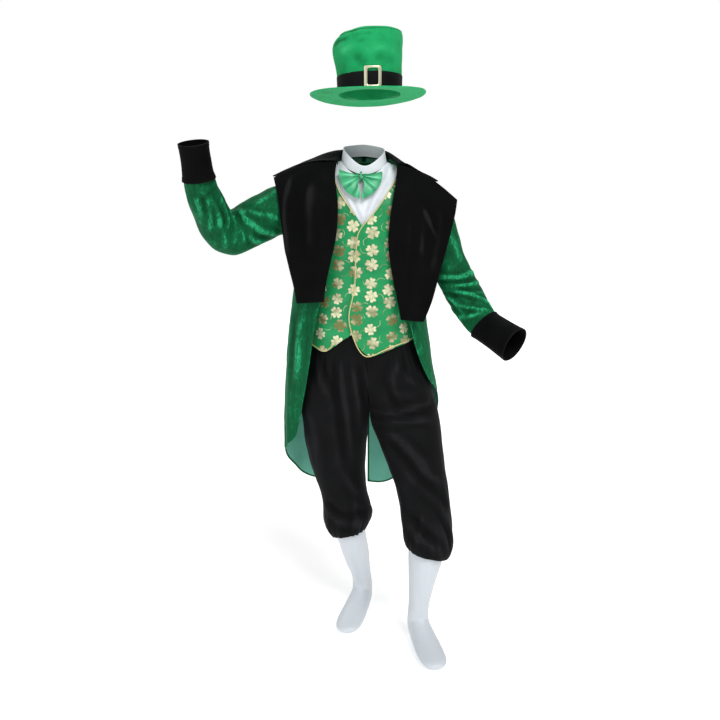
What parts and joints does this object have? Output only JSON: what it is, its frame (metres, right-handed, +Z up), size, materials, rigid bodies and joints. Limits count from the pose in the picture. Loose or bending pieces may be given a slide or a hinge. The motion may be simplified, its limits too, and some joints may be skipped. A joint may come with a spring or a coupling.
{
  "type": "leprechaun costume",
  "caption": "Worn leprechaun costume: green top hat, velvet tailcoat with broad black lapels, clover waistcoat, bow tie, gathered black breeches and white stockings.",
  "frame": {"origin": "in the middle of the neck, level with the tops of the shoulders, where the wearer holds the costume up", "axes": "+Z up the wearer, -Y the way the front faces, +X to the wearer's left"},
  "size_m": [1.0244, 0.5944, 1.9248],
  "materials": {
    "hat_felt": "bright green felt, matt",
    "hat_ribbon": "black ribbon, slight sheen",
    "hat_buckle": "pale gold plated plastic",
    "green_velvet": "crushed green velvet",
    "black_velvet": "black velvet",
    "printed_satin": "green satin printed with gold foil clovers",
    "gold_piping": "pale gold cord",
    "white_cotton": "plain white cotton",
    "bow_satin": "light green satin",
    "black_knit": "black knit",
    "white_knit": "white stocking knit"
  },
  "bodies": {
    "root": {"hat_crown": "hat_felt", "hat_top": "hat_felt", "hat_brim": "hat_felt", "hat_band": "hat_ribbon", "hat_buckle": "hat_buckle", "coat_back_left": "green_velvet", "coat_back_right": "green_velvet", "coat_front_left": "green_velvet", "coat_front_right": "green_velvet", "coat_sleeve_left": "green_velvet", "coat_sleeve_right": "green_velvet", "coat_cuff_left": "black_velvet", "coat_cuff_right": "black_velvet", "coat_lapel_left": "black_velvet", "coat_lapel_right": "black_velvet", "coat_collar": "black_velvet", "vest_front_left": "printed_satin", "vest_front_right": "printed_satin", "vest_back": "printed_satin", "vest_piping_left": "gold_piping", "vest_piping_right_neck": "gold_piping", "vest_piping_right_hem": "gold_piping", "shirt_front": "white_cotton", "shirt_collar": "white_cotton", "bow_left": "bow_satin", "bow_right": "bow_satin", "bow_knot": "bow_satin", "breeches_left": "black_knit", "breeches_right": "black_knit", "breeches_waistband": "black_knit", "stocking_left": "white_knit", "stocking_right": "white_knit"}
  },
  "joints": []
}
